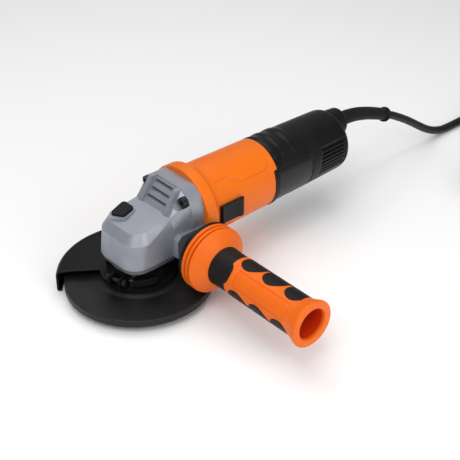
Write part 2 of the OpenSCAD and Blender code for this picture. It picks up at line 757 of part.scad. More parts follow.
module grip_pads() {
  color([0.08, 0.08, 0.08]) on_handle(0) for (row = [0:2], i = [0:2]) pad(row, i);
}

module handle_stud() {
  color([0.65, 0.66, 0.68]) on_handle(18) {
    cylinder(r = 4, h = 50);
    translate([0, 0, 50]) cylinder(r = 6.5, h = 5.5, $fn = 6);
  }
}

// ---------------------------------------------------------------- cord

module cord() {
  color([0.07, 0.07, 0.08]) {
    sweep(route, [for (p = route) cord_d / 2], 12);
    sweep(tail, [for (p = tail) cord_d / 2], 12);
  }
}

module cord_coil() {
  r = cord_d / 2;
  color([0.07, 0.07, 0.08]) translate([coil_x, coil_y, floor_z]) rotate_extrude()
    translate([coil_in - r, 0]) polygon([[1.5, 0], [coil_r - coil_in + 2 * r - 1.5, 0],
      [coil_r - coil_in + 2 * r, 1.5], [coil_r - coil_in + 2 * r, 13], [coil_r - coil_in + 2 * r - 1.5, 14.5],
      [1.5, 14.5], [0, 13], [0, 1.5]]);
}

module plug_body() {
  color([0.06, 0.06, 0.06]) {
    translate([plug_front, plug_y, plug_z]) rotate([0, 90, 0]) linear_extrude(38) intersection() {
      circle(r = 18.5);
      square([30, 37], center = true);
    }
    translate([plug_front + 38, plug_y, plug_z]) rotate([0, 90, 0]) cylinder(r1 = 9, r2 = 5.5, h = 17);
  }
}

module plug_pins() {
  color([0.75, 0.76, 0.78]) for (s = [-1, 1]) translate([plug_front, plug_y + 9.5 * s, plug_z])
    rotate([0, -90, 0]) cylinder(r = 2.4, h = 19);
}

gear_housing();
bearing_cover();
cover_screws();
head_screws();
spindle();
crown_gear();
spindle_bearing_outer();
spindle_bearing_inner();
bearing_balls();
needle_bearing();
lock_button();
lock_pin();
lock_spring();
baffle_ring();
pinion();
inner_flange();
clamp_nut();
grinding_disc();
guard();
guard_band();
band_screw();
clamp_lever();
lever_pin();
motor_housing();
stator_core();
field_coils();
armature_shaft();
armature_core();
armature_windings();
commutator();
fan();
front_bearing_outer();
front_bearing_inner();
rear_bearing_outer();
rear_bearing_inner();
rear_bearing_sleeve();
brush_holders();
carbon_brushes();
switch_button();
switch_rod();
switch_module();
rear_housing();
rear_screw();
label_plate();
capacitor();
cord_clamp();
clamp_screws();
cord_sleeve();
handle_washer();
handle_flange();
handle_neck();
handle_grip();
grip_pads();
handle_stud();
cord();
cord_coil();
plug_body();
plug_pins();
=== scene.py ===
"""Looks of an angle grinder: its shells, handle, guard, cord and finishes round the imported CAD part."""

from __future__ import annotations

import logging
import math
from collections.abc import Callable, Iterable, Sequence
from dataclasses import dataclass, field
from enum import Enum

import bmesh
import bpy
from mathutils import Matrix, Vector


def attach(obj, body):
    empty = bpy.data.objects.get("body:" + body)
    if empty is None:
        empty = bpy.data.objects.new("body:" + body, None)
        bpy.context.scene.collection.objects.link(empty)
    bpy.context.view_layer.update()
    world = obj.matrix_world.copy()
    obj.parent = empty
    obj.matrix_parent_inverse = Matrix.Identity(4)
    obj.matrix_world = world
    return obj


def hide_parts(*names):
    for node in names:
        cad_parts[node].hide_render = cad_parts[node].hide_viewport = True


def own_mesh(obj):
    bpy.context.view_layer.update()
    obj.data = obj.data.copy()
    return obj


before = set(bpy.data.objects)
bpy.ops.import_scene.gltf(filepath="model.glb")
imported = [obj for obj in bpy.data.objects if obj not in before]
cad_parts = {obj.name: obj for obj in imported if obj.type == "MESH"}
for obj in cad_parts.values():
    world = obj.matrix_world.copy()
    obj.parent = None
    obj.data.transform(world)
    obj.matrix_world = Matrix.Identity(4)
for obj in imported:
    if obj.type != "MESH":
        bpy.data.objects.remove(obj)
log = logging.getLogger("grinder")

MM = 0.001

Profile = list[tuple[float, float]]
Relief = Callable[[float, float, float], float]


class Axis(Enum):
    """The lines that the turned pieces are built round, each with its origin and direction."""

    SPINDLE = (Vector((0, 0, 0)), Vector((0, 0, 1)), Vector((1, 0, 0)))
    MOTOR = (Vector((0, 0, 54)), Vector((1, 0, 0)), Vector((0, -1, 0)))
    CORD = (Vector((0, 0, 66.5)), Vector((1, 0, 0)), Vector((0, -1, 0)))
    HANDLE = (Vector((31.5, 0, 37.7)), Vector((0, -1, 0)), Vector((1, 0, 0)))

    @property
    def matrix(self) -> Matrix:
        """Places local X on the zero angle and local Z on the axis, in metres.

        Returns:
            The matrix from millimetres round the axis to the row frame.
        """
        origin, along, zero = self.value
        turn = Matrix((zero, along.cross(zero), along)).transposed().to_4x4()
        return Matrix.Translation(origin * MM) @ turn @ Matrix.Scale(MM, 4)


# ------------------------------------------------------------------ finishes


@dataclass(frozen=True)
class Finish:
    """A procedural surface: two colours mixed by noise, with its own roughness and fine bump.

    Args:
        name: The material's name.
        slot: The record's material slot that the finish stands for; not used.
        base: The main colour.
        alt: The colour that the noise mixes in.
        rough: Lowest and highest roughness.
        metallic: How metallic the surface is.
        grain: Noise scale of the colour, per metre.
        bump: Strength of the fine bump.
        bump_scale: Noise scale of the bump, per metre.
        coat: Weight of the clear coat.
    """

    name: str
    slot: str
    base: tuple[float, float, float]
    alt: tuple[float, float, float]
    rough: tuple[float, float] = (0.35, 0.5)
    metallic: float = 0.0
    grain: float = 60.0
    bump: float = 0.1
    bump_scale: float = 900.0
    coat: float = 0.0
    specular: float = 0.5

    def material(self) -> bpy.types.Material:
        """Builds the node tree once and returns the same material afterwards.

        Returns:
            The Blender material.
        """
        name = f"{self.name}_finish"
        found = bpy.data.materials.get(name)
        if found:
            return found
        mat = bpy.data.materials.new(name)
        mat.use_nodes = True
        tree = mat.node_tree
        shader = tree.nodes["Principled BSDF"]
        place = tree.nodes.new("ShaderNodeTexCoord")
        broad = self._noise(tree, place, self.grain, 4.0)
        fine = self._noise(tree, place, self.bump_scale, 3.0)
        mix = tree.nodes.new("ShaderNodeMix")
        mix.data_type = "RGBA"
        mix.inputs["A"].default_value = (*self.base, 1)
        mix.inputs["B"].default_value = (*self.alt, 1)
        tree.links.new(self._ranged(tree, broad, 0.35, 0.7, 0.0, 1.0), mix.inputs["Factor"])
        tree.links.new(mix.outputs["Result"], shader.inputs["Base Color"])
        tree.links.new(self._ranged(tree, broad, 0.3, 0.7, *self.rough), shader.inputs["Roughness"])
        bump = tree.nodes.new("ShaderNodeBump")
        bump.inputs["Strength"].default_value = self.bump
        bump.inputs["Distance"].default_value = 0.0002
        tree.links.new(fine, bump.inputs["Height"])
        tree.links.new(bump.outputs["Normal"], shader.inputs["Normal"])
        shader.inputs["Metallic"].default_value = self.metallic
        shader.inputs["Coat Weight"].default_value = self.coat
        shader.inputs["Coat Roughness"].default_value = 0.2
        shader.inputs["Specular IOR Level"].default_value = self.specular
        return mat

    @staticmethod
    def _noise(tree: bpy.types.NodeTree, place: bpy.types.Node, scale: float, detail: float):
        """Adds a noise texture in object coordinates.

        Args:
            tree: The material's node tree.
            place: The texture coordinate node.
            scale: Noise scale, per metre.
            detail: Octaves.

        Returns:
            The noise's factor socket.
        """
        noise = tree.nodes.new("ShaderNodeTexNoise")
        noise.inputs["Scale"].default_value = scale
        noise.inputs["Detail"].default_value = detail
        tree.links.new(place.outputs["Object"], noise.inputs["Vector"])
        return noise.outputs["Fac"]

    @staticmethod
    def _ranged(tree: bpy.types.NodeTree, source, low: float, high: float, out0: float, out1: float):
        """Maps a socket's range onto another.

        Args:
            tree: The material's node tree.
            source: The socket to read.
            low: The value that becomes out0.
            high: The value that becomes out1.
            out0: The result at low.
            out1: The result at high.

        Returns:
            The mapped socket.
        """
        ranged = tree.nodes.new("ShaderNodeMapRange")
        ranged.inputs["From Min"].default_value = low
        ranged.inputs["From Max"].default_value = high
        ranged.inputs["To Min"].default_value = out0
        ranged.inputs["To Max"].default_value = out1
        tree.links.new(source, ranged.inputs["Value"])
        return ranged.outputs["Result"]

    def dress(self, *objects: bpy.types.Object) -> None:
        """Gives the objects this finish alone.

        Args:
            objects: The pieces or CAD nodes.
        """
        for obj in objects:
            obj.data.materials.clear()
            obj.data.materials.append(self.material())


ALLOY = Finish(
    "cast_alloy", "cast_alloy", (0.345, 0.36, 0.41), (0.3, 0.315, 0.36), (0.34, 0.5), 0.5, 40, 0.35,
    1500, specular=0.4)
# Darker copy of the cast alloy for the bearing cover: painted shade under the gear head's nose.
ALLOY_PAINTED_SHADE = Finish(
    "cover_alloy_painted_shade", "cast_alloy", (0.17, 0.18, 0.2), (0.13, 0.14, 0.16), (0.4, 0.55), 0.5, 40, 0.3, 1500)
ORANGE = Finish(
    "orange_shell", "orange_shell", (0.86, 0.17, 0.003), (0.82, 0.155, 0.003), (0.32, 0.44), 0, 30,
    0.08, 2200, specular=0.3)
ORANGE_SOFT = Finish(
    "orange_grip", "orange_shell", (0.86, 0.15, 0.003), (0.82, 0.137, 0.003), (0.42, 0.52), 0, 30, 0.1,
    2200, specular=0.28)
# Darker copy of the orange: painted shade, used on the floors of the flange's grooves and inside the grip's
# bore.
ORANGE_PAINTED_SHADE = Finish(
    "orange_painted_shade", "orange_shell", (0.7, 0.04, 0.003), (0.64, 0.034, 0.003), (0.5, 0.6), 0, 30, 0.08,
    2000, specular=0.2)
BLACK = Finish(
    "black_shell", "black_shell", (0.0045, 0.0047, 0.0055), (0.0075, 0.0075, 0.0085), (0.3, 0.44), 0,
    50, 0.3, 2400, specular=0.2)
RUBBER = Finish(
    "black_rubber", "black_rubber", (0.006, 0.0056, 0.006), (0.01, 0.0095, 0.0095), (0.46, 0.62), 0, 60,
    0.3, 2600, specular=0.2)
PAINT = Finish(
    "painted_black", "painted_black", (0.003, 0.003, 0.0035), (0.0055, 0.0055, 0.0055), (0.34, 0.46), 0,
    45, 0.2, 1800, specular=0.2)
STEEL = Finish("steel", "steel", (0.55, 0.56, 0.58), (0.42, 0.43, 0.45), (0.25, 0.4), 1.0, 160, 0.15, 2400)
DARK_STEEL = Finish(
    "dark_steel", "dark_steel", (0.03, 0.03, 0.034), (0.055, 0.05, 0.05), (0.26, 0.4), 0.8, 200, 0.2,
    2400)
GROUND_STEEL = Finish(
    "bearing_steel", "bearing_steel", (0.62, 0.63, 0.65), (0.55, 0.56, 0.58), (0.15, 0.25), 1.0, 100,
    0.05)
LAMINATION = Finish(
    "lamination", "lamination", (0.3, 0.31, 0.33), (0.22, 0.22, 0.24), (0.35, 0.55), 0.9, 300, 0.3)
COPPER = Finish("copper", "copper", (0.55, 0.2, 0.07), (0.45, 0.15, 0.05), (0.25, 0.4), 0.8, 300, 0.3)
BRASS = Finish("brass", "brass", (0.68, 0.48, 0.18), (0.6, 0.42, 0.15), (0.25, 0.4), 1.0, 200, 0.1)
CARBON = Finish("carbon", "carbon", (0.03, 0.03, 0.032), (0.045, 0.045, 0.047), (0.6, 0.75), 0, 300, 0.3)
PLASTIC = Finish(
    "dark_plastic", "dark_plastic", (0.03, 0.03, 0.033), (0.04, 0.04, 0.043), (0.4, 0.55), 0, 60, 0.15)
FILM = Finish(
    "film_capacitor", "film_capacitor", (0.6, 0.42, 0.06), (0.52, 0.36, 0.05), (0.3, 0.4), 0, 60, 0.05)
CORD = Finish(
    "cord_rubber", "cord_rubber", (0.006, 0.006, 0.007), (0.011, 0.011, 0.012), (0.4, 0.52), 0, 90, 0.2,
    2000, specular=0.3)
LABEL = Finish(
    "label", "dark_plastic", (0.005, 0.005, 0.006), (0.008, 0.008, 0.009), (0.22, 0.32), 0, 60, 0.1,
    specular=0.35)
ABRASIVE = Finish(
    "abrasive", "abrasive", (0.005, 0.005, 0.0055), (0.016, 0.015, 0.014), (0.36, 0.6), 0, 30, 0.5, 900,
    specular=0.3)


# ------------------------------------------------------------------ shapes


def smooth_steps(lo: float, hi: float, value: float) -> float:
    """Eases from 0 at lo to 1 at hi.

    Args:
        lo: Where the result leaves 0.
        hi: Where the result reaches 1.
        value: The value to ease.

    Returns:
        The eased value.
    """
    t = min(1.0, max(0.0, (value - lo) / (hi - lo)))
    return t * t * (3 - 2 * t)


def window(lo: float, hi: float, value: float, edge: float) -> float:
    """1 between lo and hi, 0 outside, with eased edges.

    Args:
        lo: The lower edge.
        hi: The upper edge.
        value: The value to test.
        edge: Width of each edge.

    Returns:
        The window's height at value.
    """
    return smooth_steps(lo, lo + edge, value) * (1 - smooth_steps(hi - edge, hi, value))


def arc(x: float, y: float, r: float, a0: float, a1: float, steps: int = 8) -> Profile:
    """Points along an arc, angles in degrees.

    Args:
        x: Centre's station.
        y: Centre's radius.
        r: The arc's radius.
        a0: First angle.
        a1: Last angle.
        steps: Segments along it.

    Returns:
        The points.
    """
    turn = [math.radians(a0 + (a1 - a0) * i / steps) for i in range(steps + 1)]
    return [(x + r * math.cos(a), y + r * math.sin(a)) for a in turn]


def dense(profile: Profile, step: float) -> Profile:
    """Adds points so that no segment of the profile is longer than step.

    Args:
        profile: The points.
        step: The longest segment.

    Returns:
        The finer profile.
    """
    out = [profile[0]]
    for (x0, y0), (x1, y1) in zip(profile, profile[1:]):
        n = max(1, math.ceil(math.hypot(x1 - x0, y1 - y0) / step))
        out += [(x0 + (x1 - x0) * i / n, y0 + (y1 - y0) * i / n) for i in range(1, n + 1)]
    return out


@dataclass
class Piece:
    """A mesh being built in millimetres round one of the tool's axes.

    Args:
        name: The object's name.
        finish: Its finish.
        body: The CAD body it rides on.
        stands_for: The CAD nodes it replaces.
        axis: The axis its own coordinates are round.
    """

    name: str
    finish: Finish
    body: str = "tool"
    stands_for: tuple[str, ...] = ()
    axis: Axis | None = None
    bm: bmesh.types.BMesh = field(default_factory=bmesh.new)

    def lathe(self, profile: Profile, segments: int = 128, closed: bool = True, turn: float = 360.0,
              start: float = 0.0) -> Piece:
        """Spins a profile of (station, radius) points round local Z.

        Args:
            profile: The points, in order.
            segments: Steps round the axis.
            closed: Joins the last point to the first.
            turn: Angle of the spin, in degrees.
            start: Direction of the first profile, in degrees.

        Returns:
            The piece itself.
        """
        a = math.radians(start)
        verts = [self.bm.verts.new((r * math.cos(a), r * math.sin(a), z)) for z, r in profile]
        edges = [self.bm.edges.new(pair) for pair in zip(verts, verts[1:])]
        if closed:
            edges.append(self.bm.edges.new((verts[-1], verts[0])))
        full = turn >= 360
        bmesh.ops.spin(self.bm, geom=verts + edges, cent=(0, 0, 0), axis=(0, 0, 1),
                       angle=math.radians(turn), steps=segments, use_merge=full, use_duplicate=False)
        if closed and not full:
            bmesh.ops.holes_fill(self.bm, edges=[e for e in self.bm.edges if e.is_boundary])
        bmesh.ops.remove_doubles(self.bm, verts=self.bm.verts, dist=1e-4)
        return self

    def relief(self, depth: Relief) -> Piece:
        """Moves every vertex in or out from the axis.

        Args:
            depth: Gives the move outward from (station, angle in degrees, radius).

        Returns:
            The piece itself.
        """
        for v in self.bm.verts:
            r = math.hypot(v.co.x, v.co.y)
            if r < 1e-6:
                continue
            move = depth(v.co.z, math.degrees(math.atan2(v.co.y, v.co.x)), r)
            if move:
                v.co.x *= (r + move) / r
                v.co.y *= (r + move) / r
        return self

    def patch(self, outline: Sequence[tuple[float, float]], low: float, high: float, edge: float,
              step: float = 3.0) -> Piece:
        """A pad that lies on a cylinder round the axis.

        Args:
            outline: Points of (station, angle in degrees).
            low: Radius of its underside.
            high: Radius of its face.
            edge: Width of the rounding round its face.
            step: Angle between the rows of vertices, in degrees.

        Returns:
            The piece itself.
        """
        part = bmesh.new()
        part.faces.new([part.verts.new((angle, station, 0)) for station, angle in outline])
        angles = [angle for _, angle in outline]
        cut = math.ceil(min(angles) / step) * step
        while cut < max(angles):
            bmesh.ops.bisect_plane(part, geom=[*part.verts, *part.edges, *part.faces], dist=1e-5,
                                   plane_co=(cut, 0, 0), plane_no=(1, 0, 0))
            cut += step
        made = bmesh.ops.extrude_face_region(part, geom=part.faces[:])["geom"]
        top = [g for g in made if isinstance(g, bmesh.types.BMVert)]
        bmesh.ops.translate(part, verts=top, vec=(0, 0, 1))
        mean = math.radians(1) * high
        for v in part.verts:
            v.co = (v.co.x * mean, v.co.y, low if v.co.z < 0.5 else high)
        rim = [e for e in part.edges if e.calc_face_angle(0) > 0.8 and min(v.co.z for v in e.verts) > low]
        bmesh.ops.bevel(part, geom=rim, offset=edge, segments=3, profile=0.5, affect="EDGES",
                        clamp_overlap=True, material=-1)
        for v in part.verts:
            a = v.co.x / mean * math.radians(1)
            v.co = (v.co.z * math.cos(a), v.co.z * math.sin(a), v.co.y)
        kept = bpy.data.meshes.new("patch")
        part.to_mesh(kept)
        part.free()
        self.bm.from_mesh(kept)
        bpy.data.meshes.remove(kept)
        return self

    def tube(self, points: Sequence[Vector], radii: Sequence[float], sides: int = 40) -> Piece:
        """A round bar along a line, with its ends closed.

        Args:
            points: The line's points.
            radii: The bar's radius at each.
            sides: Vertices round it.

        Returns:
            The piece itself.
        """
        loops = []
        for i, (p, r) in enumerate(zip(points, radii)):
            along = points[min(i + 1, len(points) - 1)] - points[max(i - 1, 0)]
            place = Matrix.Translation(p) @ along.to_track_quat("Z", "Y").to_matrix().to_4x4()
            ring = bmesh.ops.create_circle(self.bm, segments=sides, radius=r, matrix=place)["verts"]
            loops.append(list({e for v in ring for e in v.link_edges}))
        for a, b in zip(loops, loops[1:]):
            bmesh.ops.bridge_loops(self.bm, edges=a + b)
        bmesh.ops.holes_fill(self.bm, edges=[e for e in self.bm.edges if e.is_boundary])
        return self

    def bevel(self, width: float, segments: int = 3, above: float = 30.0) -> Piece:
        """Rounds the edges that are sharper than an angle.

        Args:
            width: The rounding's width.
            segments: Steps across it.
            above: The smallest angle between faces that counts as an edge, in degrees.

        Returns:
            The piece itself.
        """
        limit = math.radians(above)
        edges = [e for e in self.bm.edges if e.is_manifold and e.calc_face_angle(0) > limit]
        bmesh.ops.bevel(self.bm, geom=edges, offset=width, segments=segments, profile=0.5,
                        affect="EDGES", clamp_overlap=True, material=-1)
        return self

    def from_cad(self, node: str) -> Piece:
        """Takes a CAD node's solid as the start, with its flat faces made whole.

        Args:
            node: The CAD node.

        Returns:
            The piece itself.
        """
        self.bm.from_mesh(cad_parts[node].data)
        bmesh.ops.transform(self.bm, matrix=Matrix.Scale(1 / MM, 4), verts=self.bm.verts)
        bmesh.ops.remove_doubles(self.bm, verts=self.bm.verts, dist=1e-3)
        bmesh.ops.dissolve_limit(self.bm, angle_limit=math.radians(1.5), use_dissolve_boundaries=False,
                                 verts=self.bm.verts, edges=self.bm.edges)
        return self

    def done(self, smooth: float = 38.0) -> bpy.types.Object:
        """Turns the mesh into an object with its finish, on its body.

        Args:
            smooth: Edges sharper than this stay sharp, in degrees.

        Returns:
            The object.
        """
        bmesh.ops.recalc_face_normals(self.bm, faces=self.bm.faces)
        limit = math.radians(smooth)
        for f in self.bm.faces:
            f.smooth = True
        for e in self.bm.edges:
            e.smooth = not (e.is_manifold and e.calc_face_angle(0) > limit)
        mesh = bpy.data.meshes.new(self.name)
        self.bm.to_mesh(mesh)
        self.bm.free()
        mesh.transform(self.axis.matrix if self.axis else Matrix.Scale(MM, 4))
        obj = bpy.data.objects.new(self.name, mesh)
        bpy.context.collection.objects.link(obj)
        normals = obj.modifiers.new("normals", "WEIGHTED_NORMAL")
        normals.keep_sharp = True
        self.finish.dress(obj)
        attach(obj, self.body)
        if self.stands_for:
            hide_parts(*self.stands_for)
        return obj


def softened(node: str, finish: Finish, body: str = "tool", width: float = 0.5, segments: int = 3,
             above: float = 35.0) -> bpy.types.Object:
    """A CAD node's own solid with rounded edges.

    Args:
        node: The CAD node, which the new piece replaces.
        finish: Its finish.
        body: The body it rides on.
        width: The rounding's width, in millimetres.
        segments: Steps across the rounding.
        above: The smallest edge angle that is rounded, in degrees.

    Returns:
        The object.
    """
    piece = Piece(f"{node}_look", finish, body, (node,)).from_cad(node)
    return piece.bevel(width, segments, above).done()


def smooth_path(points: Iterable[Sequence[float]], per: int) -> list[Vector]:
    """A Catmull-Rom line through points.

    Args:
        points: The points, in millimetres.
        per: Steps between each two.

    Returns:
        The line's points.
    """
    p = [Vector(q) for q in points]
    p = [2 * p[0] - p[1], *p, 2 * p[-1] - p[-2]]
    out = []
    for a, b, c, d in zip(p, p[1:], p[2:], p[3:]):
        for i in range(per):
            t = i / per
            out.append(0.5 * (2 * b + (c - a) * t + (2 * a - 5 * b + 4 * c - d) * t * t
                              + (3 * b - a - 3 * c + d) * t ** 3))
    return out + [p[-2]]


def near_line(points: Sequence[tuple[float, float]], x: float, y: float) -> float:
    """Distance from a point to a line of segments.

    Args:
        points: The line's corners.
        x: The point's first coordinate.
        y: The point's second coordinate.

    Returns:
        The distance.
    """
    best = 1e9
    for (ax, ay), (bx, by) in zip(points, points[1:]):
        dx, dy = bx - ax, by - ay
        t = max(0.0, min(1.0, ((x - ax) * dx + (y - ay) * dy) / (dx * dx + dy * dy)))
        best = min(best, math.hypot(x - ax - t * dx, y - ay - t * dy))
    return best


def groove(points: Sequence[tuple[float, float]], x: float, y: float, width: float, depth: float) -> float:
    """Depth of a groove that follows a line.

    Args:
        points: The line's corners.
        x: The point's first coordinate.
        y: The point's second coordinate.
        width: Half the groove's width.
        depth: Its depth.

    Returns:
        The move outward, which is negative in the groove.
    """
    return -depth * (1 - smooth_steps(0.25 * width, width, near_line(points, x, y)))


# ------------------------------------------------------------------ sub-assemblies


@dataclass
class GearHead:
    """The cast gear head with its cover, screws and lock button."""

    casting_edge: float = 1.1
    spring_foot: tuple[float, float, float] = (-0.0037, 0.0091, 0.0593)
    spring_left: float = 0.485

    def build(self) -> None:
        """Builds the casting, what is fixed to it and the lock button's spring."""
        softened("gear_housing", ALLOY, width=self.casting_edge, segments=4, above=24)
        # The bearing cover in the darker alloy: painted shade under the nose.
        softened("bearing_cover", ALLOY_PAINTED_SHADE, width=0.5)
        softened("lock_button", BLACK, "lock_group", 0.8, 4)
        spring = Piece("lock_spring_look", STEEL, "tool", ("lock_spring",)).from_cad("lock_spring").done()
        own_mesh(spring)
        softened("head_screws", DARK_STEEL, width=0.25)
        softened("cover_screws", DARK_STEEL, width=0.25)


@dataclass
class DiscSide:
    """The grinding disc between its flange and nut."""

    radius: float = 57.5
    rim: tuple[float, float] = (4.5, 10.5)
    rise: float = 4.6

    def build(self) -> None:
        """Turns the disc and rounds the flange and the nut."""
        low, high = self.rim
        top = high + self.rise
        disc = Piece("disc_look", ABRASIVE, "spindle_group", ("grinding_disc",), Axis.SPINDLE)
        profile = [(low + self.rise, 11.1), (low + self.rise, 23), (low + 3.6, 24.6), (low + 1, 28.6),
                   (low, 30.4),
                   (low, self.radius - 0.4), (low + 0.4, self.radius), (high - 0.4, self.radius),
                   (high, self.radius - 0.4), (high, 31.4), (high + 0.9, 29.6), (top - 1, 24.8), (top, 23),
                   (top, 11.1)]
        disc.lathe(dense(profile, 2.0), 192).done(30)
        softened("clamp_nut", DARK_STEEL, "spindle_group", 0.4)
        softened("inner_flange", STEEL, "spindle_group", 0.3)


@dataclass
class Guard:
    """The swinging guard with its band, screw and lever."""

    radius: float = 63.5
    sheet: float = 1.5
    top: float = 17.5
    start: float = -36.0
    turn: float = 180.0
    bend: float = 4.5

    def build(self) -> None:
        """Builds the sheet-metal guard and its clamp."""
        r, t, z, b = self.radius, self.sheet, self.top, self.bend
        outer = arc(z - b, r - b, b, 90, 0, 8)
        inner = arc(z - b, r - b, b - t, 0, 90, 8)
        profile = [(-1.0, r - 4), (-1.0, r - 1.4), (-0.6, r - 0.4), (0.4, r), *outer, (z, 40), (z, 25),
                   (z - t, 25),
                   (z - t, 40), *inner, (0.9, r - t), (0.5, r - t - 0.4), (0.5, r - 4)]
        piece = Piece("guard_look", PAINT, "guard_group", ("guard",), Axis.SPINDLE)
        piece.lathe(dense(profile, 3.0), 120, True, self.turn, self.start).bevel(0.5, 2, 60)
        piece.lathe([(15.6, 21.06), (15.6, 29.4), (17.9, 29.4), (18.2, 22.65), (26.8, 22.65),
                     (26.8, 21.06)], 96)
        piece.done()
        softened("guard_band", PAINT, "guard_group", 0.35)
        softened("band_screw", DARK_STEEL, "guard_group", 0.4)
        softened("clamp_lever", PAINT, "clamp_lever", 0.7)


@dataclass
class MotorHousing:
    """The orange shell with its groove and slide switch."""

    front: float = 43.0
    back: float = 121.5
    radius: float = 29.0
    line: tuple[tuple[float, float], ...] = ((62, 50), (74, 50), (79, 42), (86, 34), (111, 34), (118, 45),
                                             (117.6, 52))

    def relief(self, x: float, angle: float, r: float) -> float:
        """Depth of the shell's panel groove and switch pocket.

        Args:
            x: Station along the motor.
            angle: Angle from the near side, downwards.
            r: Radius.

        Returns:
            The move outward.
        """
        if r < 27.6:
            return 0.0
        up = -angle
        scale = math.radians(1) * r
        line = [(px, py * scale) for px, py in self.line]
        move = groove(line, x, up * scale, 0.85, 0.7)
        pocket = window(53.4, 82.4, x, 0.6) * window(-18, 18, up, 1.6)
        flat = 28.6 / max(0.5, math.cos(math.radians(up))) - r
        return move + pocket * min(0.0, flat)

    def build(self) -> None:
        """Builds the shell and the switch's button."""
        a, b, r = self.front, self.back, self.radius
        profile = [(a + 1.6, 27.5), (a, 27.5), (a, 33.3), (a + 0.3, 33.8), (a + 0.9, 34), (51, 34),
                   (52.4, 33.7), (53.6, 32.9),
                   (54.8, 31.6), (56, 30.5), (57.4, 29.7), (59.4, 29.2), (62, r), (b - 0.5, 28.1), (b, 27.7),
                   (b, 26.2), (60, 26.2), (52, 28), (50, 30.5), (a + 1.6, 30.5)]
        shell = Piece("motor_shell", ORANGE, "tool", ("motor_housing",), Axis.MOTOR)
        shell.lathe(dense(profile, 0.7), 360).relief(self.relief).done(50)
        softened("switch_button", BLACK, "switch_group", 0.6, 3)


@dataclass
class RearHousing:
    """The black rear housing with its ripples, label recess, vents and cord boss."""

    front: float = 121.5
    end: float = 207.0
    edge: float = 8.0
    slots: int = 6

    def relief(self, x: float, angle: float, r: float) -> float:
        """Depth of the housing's recesses and height of its ripples.

        Args:
            x: Station along the motor.
            angle: Angle from the near side, downwards.
            r: Radius.

        Returns:
            The move outward.
        """
        if r < 25.7 and x < 190:
            return 0.0
        if r < 24.6:
            return 0.0
        up = -angle
        label = window(119, 161, x, 0.7) * window(-43, 27, up, 1.5)
        ripple = max(window(123, 128.5, x, 2.2), window(131, 139, x, 2.8), window(142, 152, x, 3.6))
        grip = window(40, 175, up, 9) + window(-175, -52, up, 9)
        slope = 169 + 0.12 * max(0.0, up)
        vent = window(slope, 201, x, 0.8) * window(-24, 29, up, 2)
        pitch = (up + 20.5) / (46.0 / self.slots)
        slit = window(slope + 2, 199, x, 0.7) * window(0.28, 0.8, pitch % 1, 0.16) * (0 <= pitch < self.slots)
        return -0.45 * label + 0.75 * ripple * grip - 0.9 * vent - 1.6 * slit * vent

    def build(self) -> None:
        """Builds the housing, the boss round the cord and the blank label."""
        a, b, e = self.front, self.end, self.edge
        outer = arc(b - e, 26.3 - e, e, 90, 0, 10)
        inner = arc(b - e, 26.3 - e, e - 2.6, 0, 90, 10)
        profile = [(a, 25), (a, 27.1), (a + 0.4, 27.5), (162, 27.2), *outer, (b, 0), (b - 2.6, 0), *inner,
                   (162, 24.4)]
        shell = Piece("rear_shell", BLACK, "tool", ("rear_housing",), Axis.MOTOR)
        shell.lathe(dense(profile, 0.8), 360, closed=True).relief(self.relief)
        shell.patch([(117.6, -26), (117.2, 0), (117.6, 30), (119, 56), (122.4, 60), (122.4, -28), (119, -28)],
                    26.6, 28.7, 0.5)
        shell.done(50)
        boss = Piece("cord_boss", BLACK, "tool", (), Axis.CORD)
        boss.lathe(dense([(198, 7), (198, 12.4), (206, 12.4), (213, 11.8), *arc(214, 9.4, 2.4, 80, 0),
                          (216.4, 7)],
                         1.5), 96).done()
        label = Piece("label_look", LABEL, "tool", ("label_plate",), Axis.MOTOR)
        label.patch([(123, -25), (159, -25), (159, 41), (123, 41)], 26.4, 27.25, 0.1).done()
        softened("rear_screw", DARK_STEEL, width=0.2)


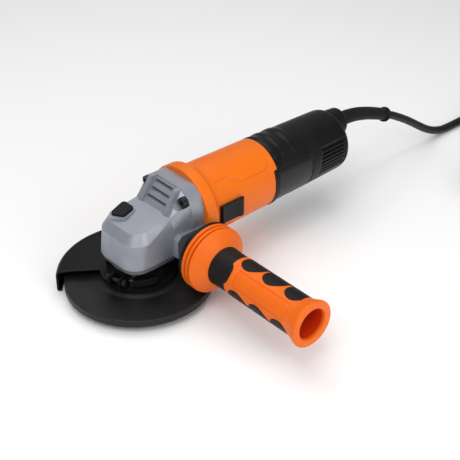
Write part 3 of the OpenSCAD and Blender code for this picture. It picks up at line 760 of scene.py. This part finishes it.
@dataclass
class SideHandle:
    """The side handle: washer, flange, neck, and grip with its pads."""

    radius: float = 14.8
    flange: float = 26.3
    pads: tuple[float, ...] = (83.5, 105.3, 127.6)
    rows: tuple[float, ...] = (55.0, 235.0)
    panel: tuple[tuple[float, float], ...] = ((88, 120), (140, 120), (140, 170), (88, 170), (88, 120))
    tongue: tuple[tuple[float, float], ...] = (
        (78, 108), (82.4, 118), (83.8, 128), (84.2, 145), (83.6, 160), (82, 172), (78, 182))

    def relief(self, u: float, angle: float, r: float) -> float:
        """Depth of the panel line on the grip.

        Args:
            u: Station along the handle.
            angle: Angle round it.
            r: Radius.

        Returns:
            The move outward.
        """
        if r < self.radius - 0.7:
            return 0.0
        scale = math.radians(1) * self.radius
        line = [(pu, pa * scale) for pu, pa in self.panel]
        return groove(line, u, (angle % 360) * scale, 0.6, 0.5)

    def pad(self, u: float, row: float) -> list[tuple[float, float]]:
        """Outline of one pad.

        Args:
            u: Station of its inner end.
            row: Angle of its row.

        Returns:
            Points of (station, angle).
        """
        half = [(0.0, 20), (0.3, 34), (1.6, 44), (3.6, 50), (6.5, 54), (8.5, 54.8), (11, 53.4), (14, 47.5),
                (16.6, 39.5),
                (18.4, 31), (19.3, 23), (19.6, 10)]
        return [(u + du, row + da) for du, da in half] + [(u + du, row - da) for du, da in reversed(half)]

    def build(self) -> None:
        """Builds every piece of the handle."""
        f, r = self.flange, self.radius
        washer = Piece("washer_look", BLACK, "tool", ("handle_washer",), Axis.HANDLE)
        washer.lathe([(30, 4), (30, 11.4), (30.6, 12), (40.4, 12), (41.8, 13.4), (42.4, 16), (42.4, f - 0.5),
                      (42.9, f), (44.5, f), (45, f - 0.5), (45, 4)], 128).done()
        ribs = [(45, 4), (45, f - 1.4), (45.3, f - 1.2), (45.6, f - 0.3), (46, f), (47.7, f), (48.1, f - 0.2),
                (48.4, f - 2.4), (49.6, f - 2.4), (49.9, f - 0.2), (50.3, f), (51.6, f), (52, f - 0.2),
                (52.3, f - 2.4), (53.5, f - 2.4), (53.8, f - 0.2), (54.4, f), (55.2, f - 0.25),
                (55.9, f - 0.9),
                (57, f - 2.5), (58.4, f - 4.1), (60, 20.5), (61.4, 18.4), (62.5, 16.8), (63.1, 15.9),
                (63.3, 15.4),
                (63.3, 4)]
        flange = Piece("flange_look", ORANGE_SOFT, "tool", ("handle_flange",), Axis.HANDLE)
        flange.lathe(ribs, 192).done(50)
        # Dark orange rings on the floors of the flange's two grooves: painted shade in the grooves.
        for i, u in enumerate((49, 52.9)):
            ring = Piece(f"flange_groove_shade_{i}", ORANGE_PAINTED_SHADE, "tool", (), Axis.HANDLE)
            ring.lathe([(u - 0.58, f - 4), (u - 0.58, f - 2.32), (u + 0.58, f - 2.32), (u + 0.58, f - 4)],
                       128).done()
        neck = Piece("neck_look", RUBBER, "tool", ("handle_neck",), Axis.HANDLE)
        neck.lathe(dense([(62, 4), (62, 15.4), (64, 15.4), (70, 15.1), (78, 14.9), (82, 14.6), (82, 4)],
                         2.5), 128)
        for turn in (0, 180):
            neck.patch([(u, a + turn) for u, a in self.tongue], r - 1.2, r + 0.8, 0.5)
        neck.done(50)
        grip = Piece("grip_look", ORANGE_SOFT, "tool", ("handle_grip",), Axis.HANDLE)
        profile = [(80, 8), (80, r + 0.1), (80.5, r + 0.5), (81.2, r + 0.6), (84, r + 0.3), (88, r), (140, r),
                   (144, r + 0.4), (147.5, r + 1.3), (150.4, r + 2.4), (152.4, r + 3.1), (153.6, r + 3.4),
                   (154.6, r + 3.4), (155.3, r + 2.8), (155.5, r + 2), (155.5, 13.3), (155.1, 12.5),
                   (154, 12.05),
                   (96, 11.6), (96, 8)]
        grip.lathe(dense(profile, 0.8), 288).relief(self.relief).done(50)
        # Darker orange lining and end wall in the grip's bore: painted shade inside the bore.
        bore = Piece("grip_bore_shade", ORANGE_PAINTED_SHADE, "tool", (), Axis.HANDLE)
        bore.lathe([(96, 0.01), (96, 12.0), (152.6, 12.0), (152.6, 11.85), (97, 11.5), (97, 0.01)], 96).done()
        pads = Piece("pads_look", RUBBER, "tool", ("grip_pads",), Axis.HANDLE)
        for row in self.rows:
            for u in self.pads:
                pads.patch(self.pad(u, row), r - 1.2, r + 0.5, 0.45)
        pads.done(50)


@dataclass
class MainsCord:
    """The cord from its sleeve to the plug, with its coil."""

    diameter: float = 7.2
    floor: float = -1.0
    centre: tuple[float, float] = (430.0, -52.0)
    radii: tuple[float, float] = (52.0, 29.8)
    turns: float = 3.0
    sleeve: tuple[tuple[float, float, float], ...] = (
        (202, 0, 66.5), (210, 0, 66.5), (218, 0, 66.5), (228, 0, 66), (238, 0, 64.5), (248, 0, 61.8),
        (258, 0, 58.4), (268, 0, 54.4), (278, 0, 50))
    route: tuple[tuple[float, float, float], ...] = (
        (278, 0, 50), (286, 0, 46.5), (296, 0, 41), (306, 0, 35), (316, 0, 28.4), (326, 0, 21.5),
        (336, 0, 14.8),
        (346, 0, 9.2), (356, 0, 5.3), (366, 0, 3.2), (378, 0, 2.6), (394, 0, 2.6), (410, 0, 2.6))
    tail: tuple[tuple[float, float, float], ...] = (
        (415, -104, 9.9), (400, -104, 9.9), (385, -104, 10.5), (370, -104, 12.6), (362, -104, 14),
        (355, -104, 14))

    def coil(self) -> list[Vector]:
        """The coil's turns: a lower spiral inwards, a climb, and an upper spiral outwards.

        Returns:
            Points in millimetres.
        """
        low = self.floor + self.diameter / 2
        high = low + self.diameter + 0.1
        outer, inner = self.radii
        total = 2 * self.turns + 0.5
        steps = int(total * 28)
        out = []
        for i in range(steps + 1):
            n = total * i / steps
            if n <= self.turns:
                r, z = outer + (inner - outer) * n / self.turns, low
            elif n >= self.turns + 0.5:
                r, z = inner + (outer - inner) * (n - self.turns - 0.5) / self.turns, high
            else:
                r, z = inner, low + (high - low) * smooth_steps(0, 0.5, n - self.turns)
            a = math.radians(90 - 360 * n)
            out.append(Vector((self.centre[0] + r * math.cos(a), self.centre[1] + r * math.sin(a), z)))
        return out

    def build(self) -> None:
        """Builds the sleeve, the cord with its coil, and the plug."""
        line = smooth_path(self.sleeve, 4)
        sleeve = Piece("sleeve_look", RUBBER, "tool", ("cord_sleeve",))
        sleeve.tube(line, [6.5 - 1.2 * i / (len(line) - 1) for i in range(len(line))])
        end, along = line[-1], (line[-1] - line[-2]).normalized()
        stops = ((-3.4, 5.4), (-3.2, 6.3), (-2.8, 6.6), (-0.8, 6.6), (-0.3, 6.3), (0.0, 5.6))
        sleeve.tube([end + along * s for s, _ in stops], [r for _, r in stops])
        sleeve.done(50)
        points = smooth_path(self.route, 3)[:-1] + self.coil() + smooth_path(self.tail, 3)
        spline_data = bpy.data.curves.new("cord_line", "CURVE")
        spline_data.dimensions = "3D"
        spline = spline_data.splines.new("POLY")
        spline.points.add(len(points) - 1)
        for made, p in zip(spline.points, points):
            made.co = (*(p * MM), 1)
        spline_data.bevel_depth = self.diameter / 2 * MM
        spline_data.bevel_resolution = 6
        spline_data.use_fill_caps = True
        cord = bpy.data.objects.new("cord_line", spline_data)
        bpy.context.collection.objects.link(cord)
        CORD.dress(cord)
        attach(cord, "tool")
        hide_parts("cord", "cord_coil")
        plug = softened("plug_body", RUBBER, width=1.5, segments=4)
        pins = softened("plug_pins", BRASS, width=0.5)


@dataclass
class Internals:
    """The pieces inside the shells, which keep their CAD shape."""

    finishes: dict[str, Finish] = field(default_factory=lambda: {
        "spindle": STEEL, "crown_gear": STEEL, "pinion": STEEL, "armature_shaft": STEEL, "lock_pin": STEEL,
        "lever_pin": STEEL, "clamp_screws": STEEL, "handle_stud": STEEL,
        "spindle_bearing_outer": GROUND_STEEL, "spindle_bearing_inner": GROUND_STEEL,
        "bearing_balls": GROUND_STEEL, "needle_bearing": GROUND_STEEL, "front_bearing_outer": GROUND_STEEL,
        "front_bearing_inner": GROUND_STEEL, "rear_bearing_outer": GROUND_STEEL,
        "rear_bearing_inner": GROUND_STEEL, "rear_bearing_sleeve": RUBBER, "baffle_ring": PLASTIC,
        "fan": PLASTIC, "stator_core": LAMINATION, "armature_core": LAMINATION, "field_coils": COPPER,
        "armature_windings": COPPER, "commutator": COPPER, "brush_holders": BRASS, "carbon_brushes": CARBON,
        "switch_rod": PLASTIC, "switch_module": PLASTIC, "capacitor": FILM, "cord_clamp": PLASTIC})

    def build(self) -> None:
        """Gives each inner node its finish."""
        for node, finish in self.finishes.items():
            finish.dress(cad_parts[node])


@dataclass
class Studio:
    """Camera, floor and lights."""

    place: tuple[float, float, float] = (-0.3983, -0.5575, 0.5141)
    forward: tuple[float, float, float] = (0.5474, 0.6205, -0.5617)
    roll: float = -0.23
    lens: float = 36 * 1100 / 460
    floor: float = -0.001
    floor_size: float = 6.0
    ambient: float = 0.32
    lamps: tuple[tuple[str, tuple[float, float, float], float, float], ...] = (
        ("key", (-0.5, -0.3, 0.9), 0.7, 5.0),
        ("top", (0.15, 0.3, 1.0), 0.9, 4.4),
        ("fill", (0.1, -0.9, 0.45), 0.7, 3.4))

    def camera(self) -> None:
        """Places the camera."""
        data = bpy.data.cameras.new("camera")
        data.lens = self.lens
        data.sensor_width = 36
        data.clip_start, data.clip_end = 0.01, 20
        cam = bpy.data.objects.new("camera", data)
        bpy.context.collection.objects.link(cam)
        turn = Vector(self.forward).to_track_quat("-Z", "Y").to_matrix().to_4x4()
        cam.matrix_world = Matrix.Translation(self.place) @ turn @ Matrix.Rotation(math.radians(self.roll),
                                                                                   4, "Z")
        bpy.context.scene.camera = cam

    def light(self, name: str, place: tuple[float, float, float], size: float, watts: float,
              aim: tuple[float, float, float] = (0.1, 0, 0.03)) -> None:
        """Adds a soft square light.

        Args:
            name: Its name.
            place: Where it is, in metres.
            size: Length of its side.
            watts: Its power.
            aim: The point it faces.
        """
        data = bpy.data.lights.new(name, "AREA")
        data.size, data.energy = size, watts
        lamp = bpy.data.objects.new(name, data)
        bpy.context.collection.objects.link(lamp)
        lamp.matrix_world = (Matrix.Translation(place)
                             @ (Vector(aim) - Vector(place)).to_track_quat("-Z", "Y").to_matrix().to_4x4())

    def build(self) -> None:
        """Builds the pale floor, the world and the lights."""
        bm = bmesh.new()
        bmesh.ops.create_grid(bm, x_segments=1, y_segments=1, size=self.floor_size)
        mesh = bpy.data.meshes.new("floor")
        bm.to_mesh(mesh)
        bm.free()
        floor = bpy.data.objects.new("floor", mesh)
        floor.location.z = self.floor - 0.0002
        bpy.context.collection.objects.link(floor)
        mat = bpy.data.materials.new("floor")
        mat.use_nodes = True
        shader = mat.node_tree.nodes["Principled BSDF"]
        shader.inputs["Base Color"].default_value = (0.98, 0.98, 0.98, 1)
        shader.inputs["Roughness"].default_value = 0.9
        shader.inputs["Specular IOR Level"].default_value = 0.1
        floor.data.materials.append(mat)
        world = bpy.data.worlds.new("studio")
        world.use_nodes = True
        world.node_tree.nodes["Background"].inputs["Color"].default_value = (1, 1, 1, 1)
        world.node_tree.nodes["Background"].inputs["Strength"].default_value = self.ambient
        bpy.context.scene.world = world
        for lamp in self.lamps:
            self.light(*lamp)
        bpy.context.scene.view_settings.view_transform = "Standard"


def main() -> None:
    """Builds every sub-assembly in order."""
    logging.basicConfig(level=logging.INFO)
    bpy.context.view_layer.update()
    studio = Studio()
    studio.camera()
    for part in (MainsCord(), GearHead(), DiscSide(), Guard(), MotorHousing(), RearHousing(), SideHandle(),
                 Internals(), studio):
        part.build()
        log.info("built %s", type(part).__name__)


if __name__ == "__main__":
    main()
